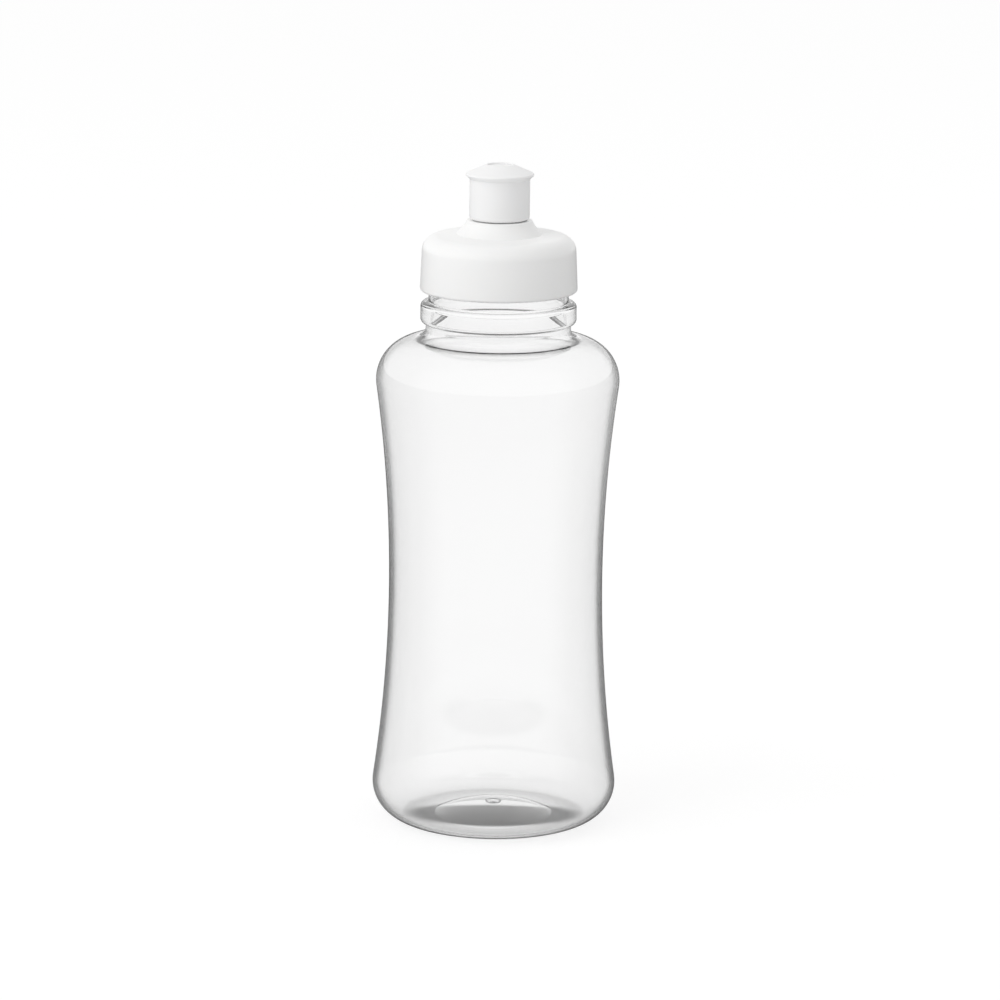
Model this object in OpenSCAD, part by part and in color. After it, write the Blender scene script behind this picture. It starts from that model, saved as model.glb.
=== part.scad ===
// Squeeze bottle with a screw cap and a push-pull spout, standing on its base.
// The axis of the bottle is the Z axis, and the base rests on z = 0.

/* [Body] */
// Largest radius low down, at the heel
heel_r = 36.5; // [30:0.1:45]
// Rounding of the heel, from the side into the base
heel_round = 11.1; // [8:0.1:13]
// Radius at the narrowest part of the waist
waist_r = 31.9; // [28:0.1:34]
// Height of the narrowest part of the waist
waist_z = 73.9; // [60:0.1:85]
// Largest radius high up, at the shoulder
shoulder_r = 36.1; // [34:0.1:44]
// Rounding of the shoulder
shoulder_round = 12.4; // [10:0.1:13]
// Height at which the shoulder is widest, or nearly so
shoulder_z = 133.9; // [120:0.1:160]
// Thickness of the blown wall
wall = 0.7; // [0.5:0.05:1.5]

/* [Base] */
// Width of the flat ring that the bottle stands on
stand_w = 7.0; // [1:0.5:12]
// Rounding between the standing ring and the pushed-up middle
punt_round = 2.2; // [2:0.1:4]
// Height of the pushed-up middle above the table
punt_h = 4.0; // [3:0.1:9]
// Radius of the gate mark in the middle of the base
gate_r = 2.2; // [1:0.1:4]
// Depth of the gate mark
gate_h = 0.5; // [0.2:0.1:1]

/* [Neck] */
// Radius of the neck between the shoulder and the carrying ring
neck_r = 21.5; // [20.8:0.1:22]
// Rounding where the neck leaves the shoulder
neck_round = 3.2; // [1:0.1:3.6]
// Length of plain neck between the shoulder's top and the carrying ring
neck_h = 4.7; // [4:0.1:9]
// Bore of the neck at the mouth, as a radius
bore_r = 18.9; // [16:0.1:19.2]
// Wall of the plain neck, which thins from there to the blown wall
neck_wall = 1.4; // [0.8:0.1:2]
// Radius of the carrying ring
ring_r = 23.1; // [22.6:0.1:25]
// Height of the carrying ring
ring_h = 6.2; // [4:0.1:8]
// Rounding of the ring's upper edge
ring_top_round = 1.4; // [0.5:0.1:1.6]
// Rounding of the ring's lower edge
ring_low_round = 1.4; // [0.4:0.1:1.6]
// Rounding in the corner between the ring's underside and the neck
under_round = 0.2; // [0.1:0.1:1]
// Radius of the finish, the neck wall that carries the thread
finish_r = 20.7; // [20.2:0.1:21]
// Height of the finish above the carrying ring
finish_h = 16.8; // [14:0.1:22]
// Rounding of the finish at its foot and at the mouth's edges
finish_round = 0.6; // [0.3:0.1:0.8]

/* [Thread] */
// Rise of the thread in one turn
pitch = 4.2; // [3.8:0.1:5]
// Turns of thread on the neck, and in the cap
thread_turns = 1.75; // [1:0.25:2]
// Height of the neck's thread above its wall
thread_depth = 0.9; // [0.6:0.05:1]
// Width of a thread ridge at its crest
crest_w = 0.7; // [0.4:0.1:0.9]
// Width of a thread ridge at its foot
foot_w = 1.5; // [1.1:0.1:1.6]
// Radial clearance between each crest and the wall it faces
thread_gap = 0.3; // [0.25:0.05:0.4]
// Play along the axis between the cap's thread and the neck's
thread_play = 0.3; // [0.2:0.05:0.5]
// Distance from the top of the neck's thread to the mouth
thread_from_mouth = 2.6; // [2:0.1:4]

/* [Cap] */
// Wall of the cap's skirt at its lower edge
skirt_wall = 1.4; // [1.1:0.1:2]
// Depth of the skirt below the seal
skirt_depth = 14.5; // [13:0.1:16]
// How much the skirt narrows from its lower edge to its shoulder
skirt_draft = 0.5; // [0.2:0.1:0.8]
// Rounding of the skirt's lower edge
skirt_round = 0.9; // [0.3:0.1:1]
// Rounding of the cap's shoulder
crown_round = 4.7; // [3:0.1:5]
// Height of the cap's shoulder above the seal
crown_h = 2.1; // [1.8:0.1:3]
// Rise of the crown from its shoulder to the foot of the collar
crown_rise = 0.4; // [0:0.1:1.5]
// Thickness of the cap's crown
crown_wall = 1.5; // [1.2:0.1:1.7]
// Radius of the collar's foot
collar_foot_r = 12.7; // [12:0.1:15]
// Radius of the collar's rim
collar_r = 9.8; // [9.6:0.1:11]
// Height of the collar above the crown
collar_h = 4.1; // [3:0.1:6]
// Rounding of the collar's rim
rim_round = 0.4; // [0.2:0.1:0.6]

/* [Valve post] */
// Outer radius of the tube that the spout slides on
post_r = 6.9; // [6.5:0.1:7]
// Wall of that tube
post_wall = 1.4; // [1.2:0.1:1.8]
// Height of the bead that stops the spout at the tube's top
bead_w = 1.2; // [1:0.1:1.6]
// Radius of the plug's stem
stem_r = 2.8; // [2.4:0.1:3]
// Thickness of each web that holds the plug
web_t = 1.2; // [1:0.1:1.6]
// Height of the webs
web_h = 4.0; // [3:0.1:5]
// Number of webs
web_count = 3; // [3:1:4]

/* [Spout] */
// Outer radius of the spout
spout_r = 8.9; // [8.8:0.1:9.2]
// Height of the spout
spout_h = 16.3; // [16:0.1:17]
// Wall of the spout
spout_wall = 1.4; // [1.2:0.05:1.45]
// Radius of the spout's flange
flange_r = 10.1; // [9.8:0.1:11]
// Height of the flange's edge above the spout's lower end
flange_z = 13.3; // [12.8:0.1:13.6]
// Height of the flange's underside slope
flange_slope = 1.3; // [1:0.1:2]
// Rounding of the flange's edge
flange_round = 0.5; // [0.3:0.1:0.6]
// Rounding of the spout's lower end
foot_round = 1.0; // [0.5:0.1:1.2]
// Radius of the drinking hole
hole_r = 3.6; // [3.2:0.1:4]
// Thickness of the spout's top at the drinking hole
tip_wall = 2.0; // [1.6:0.1:2.2]
// How far the spout pulls up to open
spout_travel = 5.5; // [5:0.1:5.6]
// Height of the grip bead inside the spout's lower end
grip_w = 1.8; // [1.4:0.1:2]

/* [Seal ring] */
// Thickness of the seal ring
seal_t = 1.1; // [0.8:0.1:1.5]
// Width of the seal ring
seal_w = 2.0; // [1.6:0.1:2.2]

/* [Clearances] */
// Radial clearance of the spout on its tube and on its plug
slide_gap = 0.1; // [0.05:0.01:0.15]
// Height of the spout's lower end above the collar when it is pushed down
rest_gap = 0.2; // [0.1:0.05:0.3]
// Gap left between the spout's grip bead and the tube's stop bead when it is pulled up
stop_gap = 0.3; // [0.1:0.1:0.5]
// How far the seal ring's edge stays inside the finish's edge
seal_inset = 0.1; // [0.1:0.05:0.3]
// Clearance between the seal ring's edges and the cap
seal_gap = 0.3; // [0.2:0.05:0.4]

/* [Hidden] */

// Facets of a full turn, and steps in a rounding and in a long arc
turn_fn = 128;
round_steps = 6;
long_steps = 16;
// How far one solid runs into another where the two are joined
lap = 0.3;

// Shoulder's rounding, no wider than the room between the neck and the side
shoulder_turn = min(shoulder_round, shoulder_r - neck_r);

// Centres of the heel's and the shoulder's roundings, in the section
heel_c = [heel_r - heel_round, heel_round];
shoulder_c = [shoulder_r - shoulder_turn, shoulder_z];
shoulder_top = shoulder_z + shoulder_turn;

// Radius of the waist's arc that touches the waist and a rounding of radius r about c
function waist_arc(c, r) =
    let (across = waist_r - c.x, along = waist_z - c.y)
    (across * across + along * along - r * r) / (2 * (r - across));
low_arc = waist_arc(heel_c, heel_round);
high_arc = waist_arc(shoulder_c, shoulder_turn);
low_c = [waist_r + low_arc, waist_z];
high_c = [waist_r + high_arc, waist_z];

// Radius of the pushed-up middle's dome, which runs on from its rounding
punt_c = [heel_c.x - stand_w, punt_round];
dome_r = (punt_c.x * punt_c.x + pow(punt_h - punt_round, 2) - punt_round * punt_round)
    / (2 * punt_h);
dome_c = [0, punt_h - dome_r];

// Centre of the rounding at the neck's root, and the direction in which the shoulder's
// rounding meets it: straight up, unless the root reaches out past the shoulder's centre
root_x = neck_r + neck_round;
root_past = max(0, root_x - shoulder_c.x);
root_turn = acos(root_past / (shoulder_turn + neck_round));
root_c = [root_x, shoulder_c.y + (shoulder_turn + neck_round) * sin(root_turn)];

// Heights up the neck
ring_z = shoulder_top + neck_h;
ring_top = ring_z + ring_h;
mouth_z = ring_top + finish_h;

// Thread on the neck and in the cap
crest_r = finish_r + thread_depth;
cap_bore_r = crest_r + thread_gap;
cap_crest_r = finish_r + thread_gap;
thread_top = mouth_z - thread_from_mouth;
// Share of a ridge's height at its two ends, and the angle in which it grows from there
end_share = 0.15;
run_in = 30;
steps_a_turn = 48;

// Heights and radii of the cap
seat_z = mouth_z + seal_t;
skirt_z = seat_z - skirt_depth;
skirt_r = cap_bore_r + skirt_wall;
crown_r = skirt_r - skirt_draft;
crown_z = seat_z + crown_h;
crown_top = crown_z + crown_rise;
collar_top = crown_top + collar_h;
crown_c = [crown_r - crown_round, crown_z - crown_round];
seal_r = finish_r - seal_inset;
seat_r = seal_r + seal_gap;
seat_in = seal_r - seal_w - seal_gap;

// The spout, pushed down
chamfer = 0.4;
spout_z = collar_top + rest_gap;
spout_top = spout_z + spout_h;
spout_bore_r = spout_r - spout_wall;
grip_r = post_r + slide_gap;
grip_top = spout_z + grip_w;
tip_under = spout_top - tip_wall;
// Directions in which the flange's rounding begins, below, and ends, above
under_turn = -45;
over_turn = 65;

// The tube, the bead that stops the spout, and the plug
tube_bore_r = post_r - post_wall;
bead_z = grip_top + spout_travel + stop_gap;
tube_top = bead_z + bead_w;
bead_r = spout_bore_r - slide_gap;
plug_r = hole_r - slide_gap;
plug_top = spout_top - chamfer;

// Points of an arc about c, from angle a to angle b
function arc(c, r, a, b, steps) =
    [for (i = [0:steps]) let (t = a + (b - a) * i / steps) c + r * [cos(t), sin(t)]];

// Direction from one point of the section to another, from 0 to 360 degrees
function heading(from, to) =
    let (a = atan2(to.y - from.y, to.x - from.x)) a < 0 ? a + 360 : a;

// Side of the body from the standing ring to the shoulder's top, moved in by t
function side_curve(t) = concat(
    arc(heel_c, heel_round - t, -90, heading(heel_c, low_c), round_steps * 2),
    arc(low_c, low_arc + t, heading(low_c, heel_c), 180, long_steps),
    arc(high_c, high_arc + t, 180, heading(high_c, shoulder_c), long_steps),
    arc(shoulder_c, shoulder_turn - t, heading(shoulder_c, high_c) - 360, root_turn,
        round_steps * 2));

// Pushed-up middle of the base from the axis to the standing ring, moved up by t
function punt_curve(t) = concat(
    arc(dome_c, dome_r + t, 90, heading(dome_c, punt_c), long_steps),
    arc(punt_c, punt_round - t, heading(punt_c, dome_c), 270, round_steps));

// Rounding in the corner under the ring, no wider than the ring's flat underside
corner_round = max(0, min(under_round, ring_r - ring_low_round - neck_r));

// Outside of the neck from the shoulder to the mouth
function neck_outside() = concat(
    arc(root_c, neck_round, root_turn + 180, 180, round_steps),
    arc([neck_r + corner_round, ring_z - corner_round], corner_round, 180, 90, round_steps),
    arc([ring_r - ring_low_round, ring_z + ring_low_round], ring_low_round, -90, 0, round_steps),
    arc([ring_r - ring_top_round, ring_top - ring_top_round], ring_top_round, 0, 90, round_steps),
    arc([finish_r + finish_round, ring_top + finish_round], finish_round, 270, 180, round_steps),
    arc([finish_r - finish_round, mouth_z - finish_round], finish_round, 0, 90, round_steps));

// Inside of the neck from the mouth down the bore, which widens to the plain neck's wall, and
// a rounding that thins to the blown wall
function neck_inside() = concat(
    arc([bore_r + finish_round, mouth_z - finish_round], finish_round, 90, 180, round_steps),
    [for (i = [0:round_steps])
        let (share = i / round_steps, t = 180 + root_turn * share)
        root_c + (neck_round + neck_wall + (wall - neck_wall) * share) * [cos(t), sin(t)]]);

// The same points from last to first, and without those that repeat the one before
function reversed(points) = [for (i = [len(points) - 1:-1:0]) points[i]];
function distinct(points) =
    [for (i = [0:len(points) - 1]) if (i == 0 || norm(points[i] - points[i - 1]) > 0.001) points[i]];

// A helical ridge from a wall of radius wall_r to a crest, with its middle line
// starting at height z and rising for a number of turns
module ridge(wall_r, crest, z, turns) {
    out = sign(crest - wall_r);
    foot_r = wall_r - out * lap;
    steps = round(turns * steps_a_turn);
    // Share of the full height at step i
    function share(i) =
        let (to_end = min(i, steps - i) * 360 / steps_a_turn)
        end_share + (1 - end_share) * min(1, to_end / run_in);
    // Radius and height of the four corners of the section, the same way round on both walls
    function corners(i) =
        let (top_r = foot_r + (crest - foot_r) * share(i))
        [[foot_r, -out * foot_w / 2], [top_r, -out * crest_w / 2],
         [top_r, out * crest_w / 2], [foot_r, out * foot_w / 2]];
    points = [
        for (i = [0:steps], c = corners(i))
        let (a = 360 * i / steps_a_turn, lift = pitch * i / steps_a_turn)
        [c.x * cos(a), c.x * sin(a), z + lift + c.y]];
    sides = [
        for (i = [0:steps - 1], k = [0:3])
        let (p = 4 * i + k, q = 4 * i + (k + 1) % 4)
        each [[p, q, p + 4], [q, q + 4, p + 4]]];
    last = 4 * steps;
    ends = [[0, 2, 1], [0, 3, 2], [last, last + 1, last + 2], [last, last + 2, last + 3]];
    polyhedron(points, concat(sides, ends));
}

// Middle line of the neck's thread at its lower end, and of the cap's, which pulls up
// against the underside of the neck's: half of each ridge's width, where they overlap, and
// the play lie between the two
neck_thread_z = thread_top - foot_w / 2 - thread_turns * pitch;
ridge_h = thread_depth + lap;
ridge_reach = thread_depth + thread_gap + 2 * lap;
half_widths = foot_w - (foot_w - crest_w) / 2 * ridge_reach / ridge_h;
cap_thread_z = neck_thread_z - half_widths - thread_play;

module bottle() {
    color([0.93, 0.95, 0.96, 0.4]) {
        rotate_extrude($fn = turn_fn)
            polygon(distinct(concat(
                punt_curve(0),
                side_curve(0),
                neck_outside(),
                neck_inside(),
                reversed(side_curve(wall)),
                reversed(punt_curve(wall)))));
        ridge(finish_r, crest_r, neck_thread_z, thread_turns);
        // Gate mark of the preform, under the middle of the base
        translate([0, 0, punt_h - gate_h])
            cylinder(r = gate_r, h = gate_h + wall / 2, $fn = turn_fn);
    }
}

module cap() {
    color([0.95, 0.95, 0.95]) {
        rotate_extrude($fn = turn_fn)
            polygon(concat(
                // Outside, from the skirt's lower edge to the tube's bead
                arc([skirt_r - skirt_round, skirt_z + skirt_round], skirt_round, -90, 0, round_steps),
                arc(crown_c, crown_round, 0, 90, round_steps * 2),
                [[collar_foot_r, crown_top]],
                arc([collar_r - rim_round, collar_top - rim_round], rim_round, 0, 90, round_steps),
                [[post_r, collar_top],
                 [post_r, bead_z],
                 [bead_r, bead_z],
                 [bead_r, tube_top - chamfer],
                 [bead_r - chamfer, tube_top],
                 // Bore of the tube, which opens into a funnel under the collar
                 [tube_bore_r, tube_top],
                 [tube_bore_r, collar_top - crown_wall],
                 [collar_foot_r - crown_wall, crown_top - crown_wall],
                 // Underside of the crown, and the seat of the seal ring
                 [seat_in, crown_top - crown_wall],
                 [seat_in, seat_z],
                 [seat_r, seat_z],
                 [cap_bore_r, crown_c.y],
                 [cap_bore_r, skirt_z]]));
        ridge(cap_bore_r, cap_crest_r, cap_thread_z, thread_turns);
        plug();
    }
}

// Plug that closes the drinking hole, on webs inside the tube
module plug() {
    web_top = tube_top - chamfer;
    stem_z = web_top - web_h;
    rotate_extrude($fn = turn_fn)
        polygon([
            [0, stem_z],
            [stem_r, stem_z],
            [stem_r, tip_under - 2 * chamfer],
            [plug_r, tip_under - chamfer],
            [plug_r, plug_top - chamfer],
            [plug_r - chamfer, plug_top],
            [0, plug_top]]);
    for (i = [0:web_count - 1])
        rotate([0, 0, 360 / web_count * i + 90])
            translate([stem_r - lap, -web_t / 2, stem_z])
                cube([tube_bore_r - stem_r + 2 * lap, web_t, web_h]);
}

module spout() {
    flange_top = spout_z + flange_z;
    color([0.96, 0.96, 0.96])
        rotate_extrude($fn = turn_fn)
            polygon(concat(
                // Outside, from the lower end to the drinking hole
                arc([spout_r - foot_round, spout_z + foot_round], foot_round, -90, 0, round_steps),
                [[spout_r, flange_top - flange_slope]],
                arc([flange_r - flange_round, flange_top], flange_round, under_turn, over_turn, round_steps),
                arc([hole_r + chamfer, spout_top - chamfer], chamfer, over_turn, 180, round_steps),
                // Inside, from the drinking hole to the grip bead
                [[hole_r, tip_under],
                 [spout_bore_r - chamfer, tip_under],
                 [spout_bore_r, tip_under - chamfer],
                 [spout_bore_r, grip_top],
                 [grip_r, grip_top - chamfer],
                 [grip_r, spout_z]]));
}

module seal_ring() {
    color([0.85, 0.85, 0.85])
        translate([0, 0, mouth_z])
            difference() {
                cylinder(r = seal_r, h = seal_t, $fn = turn_fn);
                translate([0, 0, -lap])
                    cylinder(r = seal_r - seal_w, h = seal_t + 2 * lap, $fn = turn_fn);
            }
}

bottle();
cap();
spout();
seal_ring();
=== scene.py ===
import math

import bmesh
import bpy
from mathutils import Matrix, Vector


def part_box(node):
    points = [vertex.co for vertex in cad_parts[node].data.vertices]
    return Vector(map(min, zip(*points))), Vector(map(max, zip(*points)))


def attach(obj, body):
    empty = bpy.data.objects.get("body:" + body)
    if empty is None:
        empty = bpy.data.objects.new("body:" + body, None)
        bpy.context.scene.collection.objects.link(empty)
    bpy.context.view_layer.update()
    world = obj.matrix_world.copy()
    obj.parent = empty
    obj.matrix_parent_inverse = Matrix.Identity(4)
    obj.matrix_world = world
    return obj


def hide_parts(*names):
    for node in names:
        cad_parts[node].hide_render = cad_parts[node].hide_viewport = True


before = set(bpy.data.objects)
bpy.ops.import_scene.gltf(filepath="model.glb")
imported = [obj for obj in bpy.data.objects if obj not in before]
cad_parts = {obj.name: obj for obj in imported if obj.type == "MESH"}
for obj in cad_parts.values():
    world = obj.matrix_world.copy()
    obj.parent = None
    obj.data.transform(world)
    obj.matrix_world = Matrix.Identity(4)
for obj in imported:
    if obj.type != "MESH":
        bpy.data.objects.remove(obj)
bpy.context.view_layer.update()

mm = 0.001

# Bottle: one blow moulding of clear plastic. The neck with its carrying ring and thread is
# moulded first, as a preform, and the waisted body, the rounded shoulder and heel and the
# pushed-up base are blown below it from the same piece.

bottle_low, bottle_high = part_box("bottle")
heel_r = bottle_high.x
mouth_z = bottle_high.z
heel_round = 11.1 * mm
waist_r = 31.9 * mm
waist_z = 73.9 * mm
shoulder_r = 36.1 * mm
shoulder_round = 12.4 * mm
shoulder_z = 133.9 * mm
wall = 0.7 * mm
stand_w = 7.0 * mm
punt_round = 2.2 * mm
punt_h = 4.0 * mm
gate_r = 2.2 * mm
gate_h = 0.5 * mm
gate_round = 0.2 * mm
neck_r = 21.5 * mm
neck_round = 3.2 * mm
bore_r = 18.9 * mm
neck_wall = 1.4 * mm
ring_r = 23.1 * mm
ring_h = 6.2 * mm
ring_top_round = 1.4 * mm
ring_low_round = 1.4 * mm
under_round = 0.2 * mm
finish_r = 20.7 * mm
finish_h = 16.8 * mm
finish_round = 0.6 * mm

pitch = 4.2 * mm
thread_turns = 1.75
thread_depth = 0.9 * mm
thread_foot = 1.3 * mm
thread_crest = 0.7 * mm
thread_from_mouth = 3.35 * mm
thread_run_in = 30.0
round_facets = 192
thread_z = mouth_z - thread_from_mouth - thread_turns * pitch


def arc(centre, radius, start, end, steps):
    """Points of an arc, its two ends included, as pairs such as (radius, height)."""
    turns = [math.radians(start + (end - start) * i / steps) for i in range(steps + 1)]
    return [(centre[0] + radius * math.cos(t), centre[1] + radius * math.sin(t)) for t in turns]


def heading(start, end):
    """Direction from one point of the section to another, from 0 to 360 degrees."""
    return math.degrees(math.atan2(end[1] - start[1], end[0] - start[0])) % 360


def waist_arc(centre, radius):
    """Radius of the long arc that touches the waist and the rounding about centre."""
    across = waist_r - centre[0]
    along = waist_z - centre[1]
    return (across ** 2 + along ** 2 - radius ** 2) / (2 * (radius - across))


heel_c = (heel_r - heel_round, heel_round)
shoulder_c = (shoulder_r - shoulder_round, shoulder_z)
low_arc = waist_arc(heel_c, heel_round)
high_arc = waist_arc(shoulder_c, shoulder_round)
low_c = (waist_r + low_arc, waist_z)
high_c = (waist_r + high_arc, waist_z)
punt_c = (heel_c[0] - stand_w, punt_round)
dome_r = (punt_c[0] ** 2 + (punt_h - punt_round) ** 2 - punt_round ** 2) / (2 * punt_h)
dome_c = (0.0, punt_h - dome_r)
ring_top = mouth_z - finish_h
ring_z = ring_top - ring_h
root_x = neck_r + neck_round
root_turn = math.acos((root_x - shoulder_c[0]) / (shoulder_round + neck_round))
root_c = (root_x, shoulder_z + (shoulder_round + neck_round) * math.sin(root_turn))
root_heading = math.degrees(root_turn)


def body_side(inset):
    """The side from the standing ring up to the top of the shoulder."""
    low_end = heading(heel_c, low_c)
    high_end = heading(high_c, shoulder_c)
    return (
        arc(heel_c, heel_round - inset, -90, low_end, 20)
        + arc(low_c, low_arc + inset, heading(low_c, heel_c), 180, 20)[1:]
        + arc(high_c, high_arc + inset, 180, high_end, 20)[1:]
        + arc(shoulder_c, shoulder_round - inset, high_end - 180, root_heading, 24)[1:]
    )


def base_dome(inset):
    """The pushed-up middle of the base, from near the axis out to the standing ring."""
    start = math.degrees(math.acos((gate_r + gate_round) / (dome_r + inset)))
    return (
        arc(dome_c, dome_r + inset, start, heading(dome_c, punt_c), 24)
        + arc(punt_c, punt_round - inset, heading(punt_c, dome_c), 270, 10)[1:]
    )


gate_low = punt_h - gate_h
bottle_outline = (
    [(0.0, gate_low), (gate_r * 0.5, gate_low)]
    + arc((gate_r - gate_round, gate_low + gate_round), gate_round, -90, 0, 3)
    + base_dome(0.0)
    + body_side(0.0)[1:]
    + arc(root_c, neck_round, root_heading + 180, 180, 12)[1:]
    + arc((neck_r + under_round, ring_z - under_round), under_round, 180, 90, 6)
    + arc((ring_r - ring_low_round, ring_z + ring_low_round), ring_low_round, -90, 0, 8)
    + arc((ring_r - ring_top_round, ring_top - ring_top_round), ring_top_round, 0, 90, 8)
    + arc((finish_r + finish_round, ring_top + finish_round), finish_round, 270, 180, 6)
)
thread_low = thread_z - thread_foot
thread_high = thread_z + thread_turns * pitch + thread_foot
thread_rows = 84
finish_rows = [
    (finish_r, thread_low + (thread_high - thread_low) * i / thread_rows)
    for i in range(thread_rows + 1)
]
bottle_outline += finish_rows
bottle_outline += arc((finish_r - finish_round, mouth_z - finish_round), finish_round, 0, 90, 6)
root_steps = 14
root_inside = []
for step in range(root_steps + 1):
    share = step / root_steps
    radius = neck_round + neck_wall + (wall - neck_wall) * share
    turn = math.radians(180 + root_heading * share)
    root_inside.append((root_c[0] + radius * math.cos(turn), root_c[1] + radius * math.sin(turn)))
bottle_outline += (
    arc((bore_r + finish_round, mouth_z - finish_round), finish_round, 90, 180, 6)
    + root_inside
    + body_side(wall)[::-1][1:]
    + base_dome(wall)[::-1][1:]
    + [(0.0, punt_h + wall)]
)


def calc(tree, operation, *values):
    """A Math node of a node tree: its result."""
    node = tree.nodes.new("ShaderNodeMath")
    node.operation = operation
    for socket, value in zip(node.inputs, values):
        if isinstance(value, bpy.types.NodeSocket):
            tree.links.new(value, socket)
        else:
            socket.default_value = value
    return node.outputs[0]


def turning_tree():
    """Geometry nodes that turn an outline round the axis and raise a thread on its wall."""
    tree = bpy.data.node_groups.new("turned_body", "GeometryNodeTree")
    face = tree.interface
    face.new_socket("Outline", in_out="INPUT", socket_type="NodeSocketGeometry")
    face.new_socket("Facets", in_out="INPUT", socket_type="NodeSocketInt")
    for size in ("Wall Radius", "Thread Height", "Thread Start", "Pitch", "Turns",
                 "Foot Width", "Crest Width", "Run In"):
        face.new_socket(size, in_out="INPUT", socket_type="NodeSocketFloat")
    face.new_socket("Material", in_out="INPUT", socket_type="NodeSocketMaterial")
    face.new_socket("Body", in_out="OUTPUT", socket_type="NodeSocketGeometry")
    given = tree.nodes.new("NodeGroupInput").outputs
    link = tree.links.new

    # One row of the grid for each point of the outline, one column for each facet
    size = tree.nodes.new("GeometryNodeAttributeDomainSize")
    link(given["Outline"], size.inputs["Geometry"])
    grid = tree.nodes.new("GeometryNodeMeshGrid")
    columns = calc(tree, "ADD", given["Facets"], 1)
    link(size.outputs["Point Count"], grid.inputs["Vertices X"])
    link(columns, grid.inputs["Vertices Y"])
    index = tree.nodes.new("GeometryNodeInputIndex").outputs[0]
    row = calc(tree, "FLOOR", calc(tree, "DIVIDE", calc(tree, "ADD", index, 0.5), columns))
    column = calc(tree, "SUBTRACT", index, calc(tree, "MULTIPLY", row, columns))
    turn = calc(tree, "DIVIDE", column, given["Facets"])

    point = tree.nodes.new("GeometryNodeSampleIndex")
    point.data_type = "FLOAT_VECTOR"
    link(given["Outline"], point.inputs["Geometry"])
    link(tree.nodes.new("GeometryNodeInputPosition").outputs[0], point.inputs["Value"])
    link(row, point.inputs["Index"])
    place = tree.nodes.new("ShaderNodeSeparateXYZ")
    link(point.outputs[0], place.inputs[0])
    radius, height = place.outputs["X"], place.outputs["Z"]

    # The nearest turn of the helix to a point, and how far the point is along it and off it
    above = calc(tree, "SUBTRACT", height, given["Thread Start"])
    rise = calc(tree, "DIVIDE", above, given["Pitch"])
    whole = calc(tree, "ROUND", calc(tree, "SUBTRACT", rise, turn))
    along = calc(tree, "ADD", whole, turn)
    off = calc(tree, "ABSOLUTE", calc(tree, "SUBTRACT", above,
                                      calc(tree, "MULTIPLY", along, given["Pitch"])))
    half_foot = calc(tree, "MULTIPLY", given["Foot Width"], 0.5)
    half_crest = calc(tree, "MULTIPLY", given["Crest Width"], 0.5)
    flank = tree.nodes.new("ShaderNodeMapRange")
    flank.interpolation_type = "SMOOTHSTEP"
    link(off, flank.inputs["Value"])
    link(half_foot, flank.inputs["From Min"])
    link(half_crest, flank.inputs["From Max"])
    to_end = calc(tree, "MINIMUM", along, calc(tree, "SUBTRACT", given["Turns"], along))
    growth = tree.nodes.new("ShaderNodeMapRange")
    growth.interpolation_type = "SMOOTHSTEP"
    link(to_end, growth.inputs["Value"])
    link(calc(tree, "DIVIDE", given["Run In"], 360.0), growth.inputs["From Max"])
    wall_tolerance = 0.01 * mm
    on_wall = calc(tree, "COMPARE", radius, given["Wall Radius"], wall_tolerance)
    share = calc(tree, "MULTIPLY", calc(tree, "MULTIPLY", flank.outputs[0], growth.outputs[0]),
                 on_wall)
    radius = calc(tree, "ADD", radius, calc(tree, "MULTIPLY", share, given["Thread Height"]))

    angle = calc(tree, "MULTIPLY", turn, 2 * math.pi)
    spot = tree.nodes.new("ShaderNodeCombineXYZ")
    link(calc(tree, "MULTIPLY", radius, calc(tree, "COSINE", angle)), spot.inputs["X"])
    link(calc(tree, "MULTIPLY", radius, calc(tree, "SINE", angle)), spot.inputs["Y"])
    link(height, spot.inputs["Z"])
    turned = tree.nodes.new("GeometryNodeSetPosition")
    link(grid.outputs["Mesh"], turned.inputs["Geometry"])
    link(spot.outputs[0], turned.inputs["Position"])

    # The seam and the two points on the axis are closed
    seam_tolerance = 0.001 * mm
    closed = tree.nodes.new("GeometryNodeMergeByDistance")
    closed.inputs["Distance"].default_value = seam_tolerance
    link(turned.outputs[0], closed.inputs["Geometry"])
    real = tree.nodes.new("GeometryNodeRealizeInstances")
    link(closed.outputs[0], real.inputs["Geometry"])
    dressed = tree.nodes.new("GeometryNodeSetMaterial")
    link(real.outputs[0], dressed.inputs["Geometry"])
    link(given["Material"], dressed.inputs["Material"])
    link(dressed.outputs[0], tree.nodes.new("NodeGroupOutput").inputs["Body"])
    return tree


turning = turning_tree()


def plain_mesh(obj, crease=35):
    """Turns what the modifiers make into the object's own mesh, with faces outward."""
    graph = bpy.context.evaluated_depsgraph_get()
    mesh = bpy.data.meshes.new_from_object(obj.evaluated_get(graph))
    obj.modifiers.clear()
    obj.data = mesh
    work = bmesh.new()
    work.from_mesh(mesh)
    bmesh.ops.recalc_face_normals(work, faces=work.faces)
    work.to_mesh(mesh)
    work.free()
    mesh.shade_smooth()
    mesh.set_sharp_from_angle(angle=math.radians(crease))
    return obj


def finished(obj, tree, **sizes):
    """Runs a tree on an object with its inputs set by name, and keeps the plain mesh."""
    modifier = obj.modifiers.new(tree.name, "NODES")
    modifier.node_group = tree
    for item in tree.interface.items_tree:
        if item.in_out == "INPUT" and item.name in sizes:
            modifier[item.identifier] = sizes[item.name]
    return plain_mesh(obj)


def turned_piece(name, outline, material, **sizes):
    """A closed body turned from its outline, with the sizes of its thread if it has one."""
    mesh = bpy.data.meshes.new(name)
    edges = [(i, i + 1) for i in range(len(outline) - 1)]
    mesh.from_pydata([(r, 0.0, z) for r, z in outline], edges, [])
    obj = bpy.data.objects.new(name, mesh)
    bpy.context.collection.objects.link(obj)
    return finished(obj, turning, Material=material, **sizes)


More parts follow.
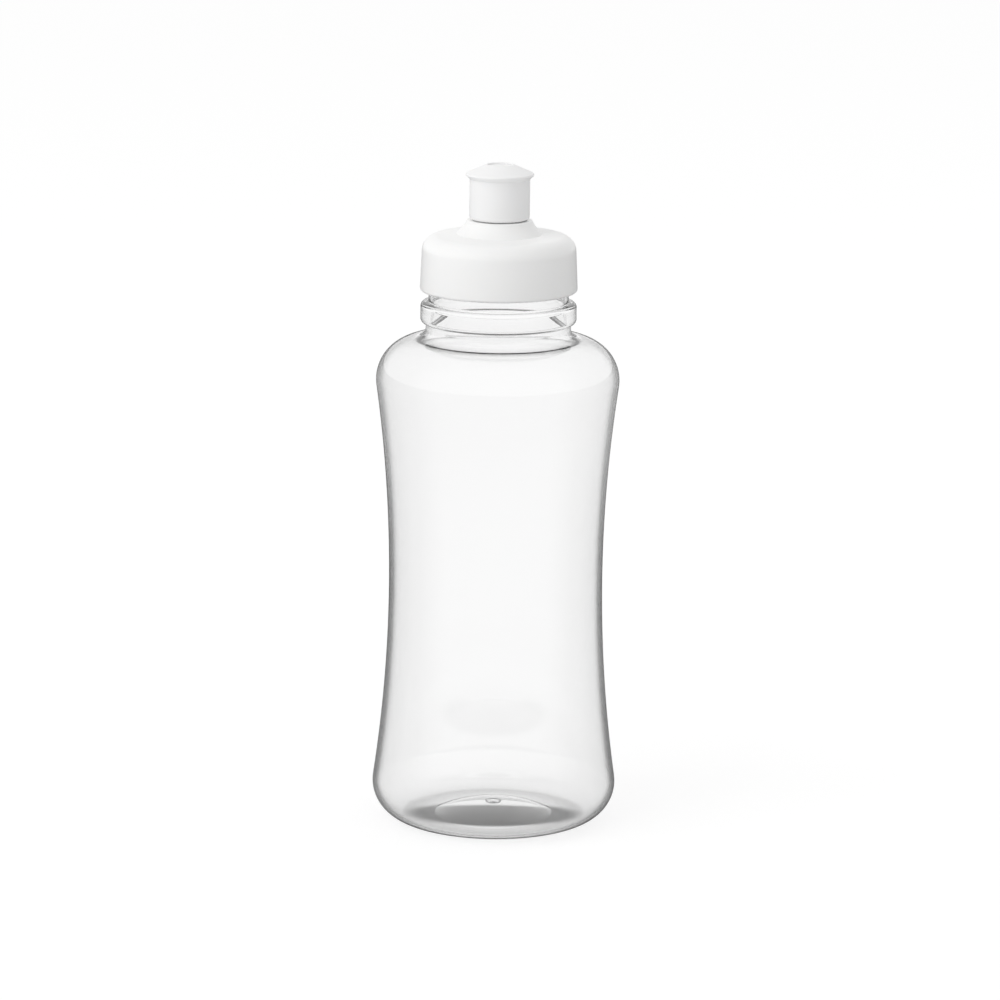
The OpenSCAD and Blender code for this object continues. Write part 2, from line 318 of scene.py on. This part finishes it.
def new_material(name):
    """An empty material: the material, its node tree and its shader."""
    material = bpy.data.materials.new(name)
    material.use_nodes = True
    tree = material.node_tree
    shader = tree.nodes["Principled BSDF"]
    return material, tree, shader


def noise(tree, scale, detail=2.0, stretch=(1.0, 1.0, 1.0)):
    """Noise on the object's own coordinates: its value."""
    place = tree.nodes.new("ShaderNodeTexCoord").outputs["Object"]
    mapping = tree.nodes.new("ShaderNodeMapping")
    mapping.inputs["Scale"].default_value = stretch
    tree.links.new(place, mapping.inputs["Vector"])
    pattern = tree.nodes.new("ShaderNodeTexNoise")
    pattern.inputs["Scale"].default_value = scale
    pattern.inputs["Detail"].default_value = detail
    tree.links.new(mapping.outputs[0], pattern.inputs["Vector"])
    return pattern.outputs["Fac"]


def spread(tree, value, low, high):
    """Maps a pattern from 0..1 to low..high."""
    node = tree.nodes.new("ShaderNodeMapRange")
    node.inputs["To Min"].default_value = low
    node.inputs["To Max"].default_value = high
    tree.links.new(value, node.inputs["Value"])
    return node.outputs[0]


def ramp(tree, value, source, target):
    """Maps a value from the source range to the target range, smoothly and held at its ends."""
    node = tree.nodes.new("ShaderNodeMapRange")
    node.interpolation_type = "SMOOTHSTEP"
    node.inputs["From Min"].default_value = source[0]
    node.inputs["From Max"].default_value = source[1]
    node.inputs["To Min"].default_value = target[0]
    node.inputs["To Max"].default_value = target[1]
    tree.links.new(value, node.inputs["Value"])
    return node.outputs[0]


def bumped(tree, height, distance, strength=1.0, under=None):
    """A bump from a height pattern, on top of another bump if one is given."""
    bump = tree.nodes.new("ShaderNodeBump")
    bump.inputs["Strength"].default_value = strength
    bump.inputs["Distance"].default_value = distance
    tree.links.new(height, bump.inputs["Height"])
    if under is not None:
        tree.links.new(under, bump.inputs["Normal"])
    return bump.outputs[0]


def clear_plastic():
    """Clear blown plastic: slightly wavy walls, with painted edge shade that greys them where the
    eye grazes them.
    """
    material, tree, shader = new_material("clear_plastic")
    shader.inputs["Transmission Weight"].default_value = 1.0
    shader.inputs["IOR"].default_value = 1.5
    # Painted edge shade: the wall's colour goes grey where the eye grazes it
    facing = tree.nodes.new("ShaderNodeLayerWeight")
    facing.inputs["Blend"].default_value = 0.5
    painted_edge_shade = tree.nodes.new("ShaderNodeValToRGB")
    stops = painted_edge_shade.color_ramp.elements
    while len(stops) < len(painted_edge_greys):
        stops.new(1.0)
    for stop, (place, grey) in zip(stops, painted_edge_greys):
        stop.position = place
        stop.color = (grey, grey, grey, 1.0)
    tree.links.new(facing.outputs["Facing"], painted_edge_shade.inputs["Fac"])

    # The thick neck and the flat base take less of the painted edge shade than the side does, and
    # the side takes less of it the higher it is
    place = tree.nodes.new("ShaderNodeSeparateXYZ")
    tree.links.new(tree.nodes.new("ShaderNodeTexCoord").outputs["Object"], place.inputs[0])
    x, y, z = place.outputs
    across = calc(tree, "SQRT", calc(tree, "ADD", calc(tree, "MULTIPLY", x, x),
                                     calc(tree, "MULTIPLY", y, y)))
    up_neck = ramp(tree, z, (ring_z + ring_low_round, ring_top - ring_top_round),
                   (neck_clear, ring_clear))
    above_side = calc(tree, "MULTIPLY", calc(tree, "GREATER_THAN", z, shoulder_z),
                      ramp(tree, across, (root_c[0] - wall, root_c[0] + wall), (1.0, 0.0)))
    in_neck = calc(tree, "MULTIPLY", above_side, up_neck)
    in_base = calc(tree, "MULTIPLY", calc(tree, "LESS_THAN", z, heel_round / 2),
                   ramp(tree, across, (punt_c[0], heel_c[0]), (1.0, 0.0)))
    up_side = ramp(tree, z, (waist_z, shoulder_z), (0.0, shoulder_clear))
    clear = tree.nodes.new("ShaderNodeMix")
    clear.data_type = "RGBA"
    tree.links.new(calc(tree, "MAXIMUM", calc(tree, "MAXIMUM", in_neck, in_base), up_side),
                   clear.inputs["Factor"])
    tree.links.new(painted_edge_shade.outputs["Color"], clear.inputs["A"])
    clear.inputs["B"].default_value = (clear_grey, clear_grey, clear_grey, 1.0)
    tree.links.new(clear.outputs["Result"], shader.inputs["Base Color"])
    tree.links.new(spread(tree, noise(tree, haze_scale), *haze), shader.inputs["Roughness"])
    waves = bumped(tree, noise(tree, wave_scale, 1.0, wave_stretch), wave_depth)
    tree.links.new(waves, shader.inputs["Normal"])
    return material


# How much light one wall lets through, from where the eye meets it squarely (0) to where it
# grazes it (1): partly the longer path through the wall, mostly painted edge shade for the dark
# outline
painted_edge_greys = ((0.0, 0.985), (0.15, 0.98), (0.32, 0.92), (0.62, 0.88), (0.68, 0.8),
              (0.74, 0.5), (0.79, 0.18), (0.84, 0.1), (0.92, 0.15), (1.0, 0.6))
clear_grey = 0.97
# How far the painted edge shade gives way to the clear grey below the ring, above it and at the
# shoulder
neck_clear = 0.95
ring_clear = 0.3
shoulder_clear = 0.35
haze_scale = 60.0
haze = (0.0, 0.03)
wave_scale = 35.0
wave_stretch = (1.0, 1.0, 0.35)
wave_depth = 0.05 * mm
bottle = turned_piece(
    "bottle_shell", bottle_outline, clear_plastic(),
    **{"Facets": round_facets, "Wall Radius": finish_r, "Thread Height": thread_depth,
       "Thread Start": thread_z, "Pitch": pitch, "Turns": thread_turns,
       "Foot Width": thread_foot, "Crest Width": thread_crest, "Run In": thread_run_in})
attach(bottle, "bottle")
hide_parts("bottle")

# Seal ring: a flat washer of soft pale foam rubber, cut from sheet. It lies on the mouth of
# the neck, and the cap presses it there when it is screwed down.

seal_low, seal_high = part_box("seal_ring")
seal_r = seal_high.x
seal_w = 2.0 * mm
seal_edge = 0.15 * mm
seal_in = seal_r - seal_w


def ring_outline(inner, outer, low, high, edge):
    """The outline of a flat ring with slightly rounded edges."""
    corners = (
        ((outer - edge, low + edge), -90),
        ((outer - edge, high - edge), 0),
        ((inner + edge, high - edge), 90),
        ((inner + edge, low + edge), 180),
    )
    points = [p for centre, start in corners for p in arc(centre, edge, start, start + 90, 3)]
    return points + points[:1]


def foam_rubber():
    """Pale closed-cell foam: a matt skin with fine pores."""
    material, tree, shader = new_material("seal_foam")
    shader.inputs["Base Color"].default_value = (0.82, 0.82, 0.8, 1.0)
    skin_scale = 900.0
    pore_scale = 2500.0
    pore_depth = 0.03 * mm
    tree.links.new(spread(tree, noise(tree, skin_scale), 0.6, 0.8), shader.inputs["Roughness"])
    pores = bumped(tree, noise(tree, pore_scale, 3.0), pore_depth)
    tree.links.new(pores, shader.inputs["Normal"])
    return material


seal_ring = turned_piece(
    "seal_washer", ring_outline(seal_in, seal_r, seal_low.z, seal_high.z, seal_edge),
    foam_rubber(), **{"Facets": round_facets})
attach(seal_ring, "seal")
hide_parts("seal_ring")

# Cap: one moulding of glossy milk-white plastic. A smooth skirt with the thread inside, a
# domed shoulder and a flared collar, and in its middle the tube that the spout slides on,
# with a stop bead at its top and a plug on three webs.

cap_low, cap_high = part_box("cap")
skirt_z = cap_low.z
skirt_r = cap_high.x
seat_z = seal_high.z
skirt_draft = 0.5 * mm
skirt_round = 0.9 * mm
crown_round = 4.7 * mm
crown_h = 2.1 * mm
crown_rise = 0.4 * mm
crown_wall = 1.5 * mm
collar_foot_r = 12.7 * mm
collar_r = 9.8 * mm
collar_h = 4.1 * mm
collar_hollow = 0.25 * mm
rim_round = 0.4 * mm
post_r = 6.9 * mm
post_wall = 1.4 * mm
post_h = 9.0 * mm
bead_w = 1.2 * mm
bead_out = 0.5 * mm
chamfer = 0.4 * mm
seal_gap = 0.3 * mm
thread_gap = 0.3 * mm
# The cap's thread pulls up on the neck's, so its middle line lies this far below that one
thread_below = 1.2 * mm
cap_bore_r = finish_r + thread_depth + thread_gap
cap_thread_z = thread_z - thread_below

crown_r = skirt_r - skirt_draft
crown_z = seat_z + crown_h
crown_top = crown_z + crown_rise
collar_top = crown_top + collar_h
crown_c = (crown_r - crown_round, crown_z - crown_round)
seat_r = seal_r + seal_gap
seat_in = seal_in - seal_gap
tube_bore_r = post_r - post_wall
tube_top = collar_top + post_h
bead_z = tube_top - bead_w
bead_r = post_r + bead_out


def collar_side(steps=8):
    """The collar's side, drawn in slightly between its foot and its rim."""
    points = []
    for i in range(1, steps):
        share = i / steps
        hollow = collar_hollow * math.sin(math.pi * share)
        points.append((collar_foot_r + (collar_r - collar_foot_r) * share - hollow,
                       crown_top + (collar_h - rim_round) * share))
    return points


cap_thread_low = cap_thread_z - thread_foot
cap_thread_high = cap_thread_z + thread_turns * pitch + thread_foot
cap_rows = [
    (cap_bore_r, cap_thread_high - (cap_thread_high - cap_thread_low) * i / thread_rows)
    for i in range(thread_rows + 1)
]
cap_outline = (
    arc((skirt_r - skirt_round, skirt_z + skirt_round), skirt_round, -90, 0, 8)
    + arc(crown_c, crown_round, 0, 90, 16)
    + [(collar_foot_r, crown_top)]
    + collar_side()
    + arc((collar_r - rim_round, collar_top - rim_round), rim_round, 0, 90, 6)
    + [(post_r, collar_top), (post_r, bead_z), (bead_r, bead_z),
       (bead_r, tube_top - chamfer), (bead_r - chamfer, tube_top),
       (tube_bore_r, tube_top), (tube_bore_r, collar_top - crown_wall),
       (collar_foot_r - crown_wall, crown_top - crown_wall),
       (seat_in, crown_top - crown_wall), (seat_in, seat_z), (seat_r, seat_z),
       (cap_bore_r, crown_c[1])]
    + cap_rows
    + [(cap_bore_r, skirt_z)]
)
cap_outline.append(cap_outline[0])


def moulded_white(name, colour, roughness, grain):
    """White moulded plastic that lets a little light in, with the mould's fine grain."""
    material, tree, shader = new_material(name)
    shader.inputs["Base Color"].default_value = (*colour, 1.0)
    shader.inputs["IOR"].default_value = 1.5
    shader.inputs["Subsurface Weight"].default_value = 0.15
    shader.inputs["Subsurface Radius"].default_value = (1.0, 0.95, 0.9)
    shader.inputs["Subsurface Scale"].default_value = 1.0 * mm
    cloud_scale = 300.0
    uneven = 0.02
    flow_scale = 60.0
    flow_depth = 0.01 * mm
    grain_scale = 2400.0
    clouds = spread(tree, noise(tree, cloud_scale), roughness - uneven, roughness + uneven)
    tree.links.new(clouds, shader.inputs["Roughness"])
    flow = bumped(tree, noise(tree, flow_scale, 1.0), flow_depth)
    skin = bumped(tree, noise(tree, grain_scale, 2.0), grain, under=flow)
    tree.links.new(skin, shader.inputs["Normal"])
    return material


stem_r = 2.8 * mm
plug_r = 3.5 * mm
plug_rise = 7.1 * mm
plug_facets = 64
plug_head = 2.0 * mm
plug_round = 0.4 * mm
web_t = 1.2 * mm
web_h = 4.0 * mm
web_count = 3
web_overlap = 0.3 * mm
stem_z = tube_top - chamfer - web_h
plug_top = tube_top + plug_rise
plug_outline = (
    [(0.0, stem_z), (stem_r, stem_z), (stem_r, plug_top - plug_head),
     (plug_r, plug_top - plug_head + chamfer)]
    + arc((plug_r - plug_round, plug_top - plug_round), plug_round, 0, 90, 6)
    + [(0.0, plug_top)]
)


def webbed_plug_tree():
    """Geometry nodes that join the cap, its plug and the webs round it into one body."""
    tree = bpy.data.node_groups.new("webbed_plug", "GeometryNodeTree")
    face = tree.interface
    face.new_socket("Cap", in_out="INPUT", socket_type="NodeSocketGeometry")
    face.new_socket("Plug", in_out="INPUT", socket_type="NodeSocketObject")
    face.new_socket("Webs", in_out="INPUT", socket_type="NodeSocketInt")
    for size in ("Web Start", "Web End", "Web Thickness", "Web Height", "Web Foot"):
        face.new_socket(size, in_out="INPUT", socket_type="NodeSocketFloat")
    face.new_socket("Material", in_out="INPUT", socket_type="NodeSocketMaterial")
    face.new_socket("Body", in_out="OUTPUT", socket_type="NodeSocketGeometry")
    given = tree.nodes.new("NodeGroupInput").outputs
    link = tree.links.new

    web = tree.nodes.new("GeometryNodeMeshCube")
    web_size = tree.nodes.new("ShaderNodeCombineXYZ")
    link(given["Web Thickness"], web_size.inputs["X"])
    link(calc(tree, "SUBTRACT", given["Web End"], given["Web Start"]), web_size.inputs["Y"])
    link(given["Web Height"], web_size.inputs["Z"])
    link(web_size.outputs[0], web.inputs["Size"])

    # One web at each point of a circle, turned to point at the axis
    circle = tree.nodes.new("GeometryNodeMeshCircle")
    link(given["Webs"], circle.inputs["Vertices"])
    middle = calc(tree, "MULTIPLY", calc(tree, "ADD", given["Web Start"], given["Web End"]), 0.5)
    link(middle, circle.inputs["Radius"])
    index = tree.nodes.new("GeometryNodeInputIndex").outputs[0]
    share = calc(tree, "DIVIDE", index, given["Webs"])
    turn = tree.nodes.new("ShaderNodeCombineXYZ")
    link(calc(tree, "SUBTRACT", calc(tree, "MULTIPLY", share, 2 * math.pi), math.pi / 2),
         turn.inputs["Z"])
    webs = tree.nodes.new("GeometryNodeInstanceOnPoints")
    link(circle.outputs["Mesh"], webs.inputs["Points"])
    link(web.outputs["Mesh"], webs.inputs["Instance"])
    link(turn.outputs[0], webs.inputs["Rotation"])
    raised = tree.nodes.new("GeometryNodeTransform")
    height = tree.nodes.new("ShaderNodeCombineXYZ")
    link(calc(tree, "ADD", given["Web Foot"], calc(tree, "MULTIPLY", given["Web Height"], 0.5)),
         height.inputs["Z"])
    link(webs.outputs[0], raised.inputs["Geometry"])
    link(height.outputs[0], raised.inputs["Translation"])
    raised.inputs["Rotation"].default_value = (0.0, 0.0, math.pi / 2)

    plug = tree.nodes.new("GeometryNodeObjectInfo")
    link(given["Plug"], plug.inputs["Object"])
    joined = tree.nodes.new("GeometryNodeMeshBoolean")
    joined.operation = "UNION"
    joined.solver = "MANIFOLD"
    real = tree.nodes.new("GeometryNodeRealizeInstances")
    link(raised.outputs[0], real.inputs["Geometry"])
    for part in (given["Cap"], plug.outputs["Geometry"], real.outputs[0]):
        link(part, joined.inputs["Mesh 2"])
    whole = tree.nodes.new("GeometryNodeRealizeInstances")
    link(joined.outputs["Mesh"], whole.inputs["Geometry"])
    dressed = tree.nodes.new("GeometryNodeSetMaterial")
    link(whole.outputs[0], dressed.inputs["Geometry"])
    link(given["Material"], dressed.inputs["Material"])
    link(dressed.outputs[0], tree.nodes.new("NodeGroupOutput").inputs["Body"])
    return tree


cap_white = moulded_white("cap_plastic", (0.9, 0.9, 0.895), 0.3, 0.001 * mm)
plug = turned_piece("cap_plug", plug_outline, cap_white, **{"Facets": plug_facets})
cap = turned_piece(
    "cap_shell", cap_outline, cap_white,
    **{"Facets": round_facets, "Wall Radius": cap_bore_r, "Thread Height": -thread_depth,
       "Thread Start": cap_thread_z, "Pitch": pitch, "Turns": thread_turns,
       "Foot Width": thread_foot, "Crest Width": thread_crest, "Run In": thread_run_in})
cap = finished(cap, webbed_plug_tree(), **{
    "Plug": plug, "Webs": web_count, "Web Start": stem_r - web_overlap,
    "Web End": tube_bore_r + web_overlap, "Web Thickness": web_t, "Web Height": web_h,
    "Web Foot": stem_z, "Material": cap_white})
bpy.data.objects.remove(plug)
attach(cap, "cap")
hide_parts("cap")

# Spout: one moulding of softer white plastic, pushed over the tube. It has a rounded lower
# end, a flange to pull it up by, and the drinking hole, which the plug closes when it is down.

spout_low, spout_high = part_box("spout")
spout_z = spout_low.z
spout_top = spout_high.z
spout_r = 8.9 * mm
spout_wall = 1.4 * mm
flange_r = spout_high.x
flange_z = 13.3 * mm
flange_slope = 1.3 * mm
flange_round = 0.5 * mm
# Directions in which the flange's rounding begins, below, and ends, above
under_turn = -45
over_turn = 65
foot_round = 1.0 * mm
hole_r = 3.6 * mm
tip_wall = 2.0 * mm
grip_w = 1.8 * mm
slide_gap = 0.1 * mm
grip_r = post_r + slide_gap
spout_bore_r = spout_r - spout_wall
tip_under = spout_top - tip_wall
flange_top = spout_z + flange_z

spout_outline = (
    arc((spout_r - foot_round, spout_z + foot_round), foot_round, -90, 0, 8)
    + [(spout_r, flange_top - flange_slope)]
    + arc((flange_r - flange_round, flange_top), flange_round, under_turn, over_turn, 8)
    + arc((hole_r + chamfer, spout_top - chamfer), chamfer, over_turn, 180, 8)
    + [(hole_r, tip_under), (spout_bore_r - chamfer, tip_under),
       (spout_bore_r, tip_under - chamfer), (spout_bore_r, spout_z + grip_w),
       (grip_r, spout_z + grip_w - chamfer), (grip_r, spout_z)]
)
spout_outline.append(spout_outline[0])

spout = turned_piece(
    "spout_sleeve", spout_outline,
    moulded_white("spout_plastic", (0.89, 0.89, 0.89), 0.42, 0.002 * mm),
    **{"Facets": round_facets})
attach(spout, "spout")
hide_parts("spout")

# Studio: a white floor that fades into a white surround, one large soft lamp from the upper
# left and a weaker one from the right, and the camera.

world = bpy.data.worlds.new("surround")
bpy.context.scene.world = world
world.use_nodes = True
room = world.node_tree
paths = room.nodes.new("ShaderNodeLightPath").outputs
seen = calc(room, "MAXIMUM", paths["Is Camera Ray"],
            calc(room, "MAXIMUM", paths["Is Glossy Ray"], paths["Is Transmission Ray"]))
fill_light = 0.68
strength = calc(room, "ADD", calc(room, "MULTIPLY", seen, 1.0 - fill_light), fill_light)
room.nodes["Background"].inputs["Color"].default_value = (1.0, 1.0, 1.0, 1.0)
room.links.new(strength, room.nodes["Background"].inputs["Strength"])

floor_mesh = bpy.data.meshes.new("floor")
reach = 6.0
floor_mesh.from_pydata([(-reach, -reach, 0), (reach, -reach, 0), (reach, reach, 0),
                        (-reach, reach, 0)], [], [(0, 1, 2, 3)])
floor = bpy.data.objects.new("floor", floor_mesh)
bpy.context.collection.objects.link(floor)


# Share of the floor's look that is its own glow, and how bright that is
floor_glow = 0.78
glow_strength = 1.08
# Grey of the floor's paint inside the painted shadow and on the open floor
floor_and_painted_shadow_greys = (0.5, 0.9)
# A shadow is painted on the floor where the bottle stands on it, from one radius to the other:
# the floor's grey darkens and its glow goes. The painted shadow is drawn out sideways and lies a
# little in front of the middle
painted_stand_shadow = (11.0 * mm, 15.0 * mm)
stand_narrow = 0.5
stand_front = 2.5 * mm


def floor_white():
    """A white floor that reads as white and keeps a soft shadow, with a painted shadow where the
    bottle stands, and is open from below.
    """
    material = bpy.data.materials.new("floor_white")
    material.use_nodes = True
    tree = material.node_tree
    tree.nodes.clear()
    link = tree.links.new
    path = tree.nodes.new("ShaderNodeLightPath").outputs
    shown = calc(tree, "MAXIMUM", path["Is Camera Ray"],
                 calc(tree, "MAXIMUM", path["Is Glossy Ray"], path["Is Transmission Ray"]))
    place = tree.nodes.new("ShaderNodeMapping")
    place.inputs["Scale"].default_value = (stand_narrow, 1.0, 1.0)
    place.inputs["Location"].default_value = (0.0, stand_front, 0.0)
    link(tree.nodes.new("ShaderNodeTexCoord").outputs["Object"], place.inputs["Vector"])
    away = tree.nodes.new("ShaderNodeVectorMath")
    away.operation = "LENGTH"
    link(place.outputs[0], away.inputs[0])
    # Painted shadow: 0 where the bottle stands, 1 on the open floor
    outside_painted_shadow = ramp(tree, away.outputs["Value"], painted_stand_shadow, (0.0, 1.0))
    paint = tree.nodes.new("ShaderNodeBsdfDiffuse")
    link(spread(tree, outside_painted_shadow, *floor_and_painted_shadow_greys), paint.inputs["Color"])
    glow = tree.nodes.new("ShaderNodeEmission")
    glow.inputs["Strength"].default_value = glow_strength
    bright = tree.nodes.new("ShaderNodeMixShader")
    glowing = calc(tree, "MULTIPLY", calc(tree, "MULTIPLY", shown, outside_painted_shadow), floor_glow)
    link(glowing, bright.inputs["Fac"])
    link(paint.outputs[0], bright.inputs[1])
    link(glow.outputs[0], bright.inputs[2])
    under = tree.nodes.new("ShaderNodeNewGeometry").outputs["Backfacing"]
    open_below = tree.nodes.new("ShaderNodeMixShader")
    link(under, open_below.inputs["Fac"])
    link(bright.outputs[0], open_below.inputs[1])
    link(tree.nodes.new("ShaderNodeBsdfTransparent").outputs[0], open_below.inputs[2])
    link(open_below.outputs[0], tree.nodes.new("ShaderNodeOutputMaterial").inputs["Surface"])
    return material


floor_mesh.materials.append(floor_white())

# A grey cloth drum round the bottle that only reflections see: it draws the dark edges that
# clear plastic has in a studio
drum_r = 0.3
drum_z = 0.0002
drum_h = 0.16
drum_sides = 64
drum_grey = 0.2
drum_mesh = bpy.data.meshes.new("cloth_drum")
rim = arc((0.0, 0.0), drum_r, 0, 360, drum_sides)[:-1]
drum_mesh.from_pydata(
    [(x, y, drum_z) for x, y in rim] + [(x, y, drum_h) for x, y in rim], [],
    [(i, (i + 1) % drum_sides, (i + 1) % drum_sides + drum_sides, i + drum_sides)
     for i in range(drum_sides)] + [tuple(range(drum_sides))])
drum = bpy.data.objects.new("cloth_drum", drum_mesh)
bpy.context.collection.objects.link(drum)
drum.visible_camera = False
drum.visible_diffuse = False
drum.visible_transmission = False
drum.visible_shadow = False
drum_cloth, _, drum_shader = new_material("cloth_grey")
drum_shader.inputs["Base Color"].default_value = (drum_grey, drum_grey, drum_grey, 1.0)
drum_shader.inputs["Roughness"].default_value = 1.0
drum_mesh.materials.append(drum_cloth)


lamp_aim = Vector((0.0, 0.0, 0.1))


def soft_lamp(name, place, size, power):
    """A square soft lamp that points at the middle of the bottle."""
    light = bpy.data.lights.new(name, "AREA")
    light.size = size
    light.energy = power
    lamp = bpy.data.objects.new(name, light)
    bpy.context.collection.objects.link(lamp)
    lamp.location = place
    lamp.visible_glossy = False
    lamp.visible_transmission = False
    lamp.rotation_euler = (lamp_aim - lamp.location).to_track_quat("-Z", "Y").to_euler()
    return lamp


soft_lamp("key_lamp", (-1.2, -0.8, 1.3), 1.6, 15.0)
soft_lamp("back_lamp", (0.9, 0.8, 1.2), 1.0, 1.5)

# Camera of the photograph: a long lens a little above the cap, looking slightly down
lens_camera = bpy.data.cameras.new("camera")
lens_camera.sensor_width = 36.0
lens_camera.lens = 173.5
lens_camera.clip_start = 0.01
camera = bpy.data.objects.new("camera", lens_camera)
bpy.context.collection.objects.link(camera)
camera_place = Vector((0.0, -1.405, 0.400))
camera_down = math.radians(12.16)
camera_aside = math.radians(-0.043)
camera_lean = math.radians(0.63)
camera.matrix_world = (
    Matrix.Translation(camera_place)
    @ Matrix.Rotation(camera_aside, 4, "Z")
    @ Matrix.Rotation(math.pi / 2 - camera_down, 4, "X")
    @ Matrix.Rotation(camera_lean, 4, "Z")
)
bpy.context.scene.camera = camera
bpy.context.scene.view_settings.view_transform = "Standard"
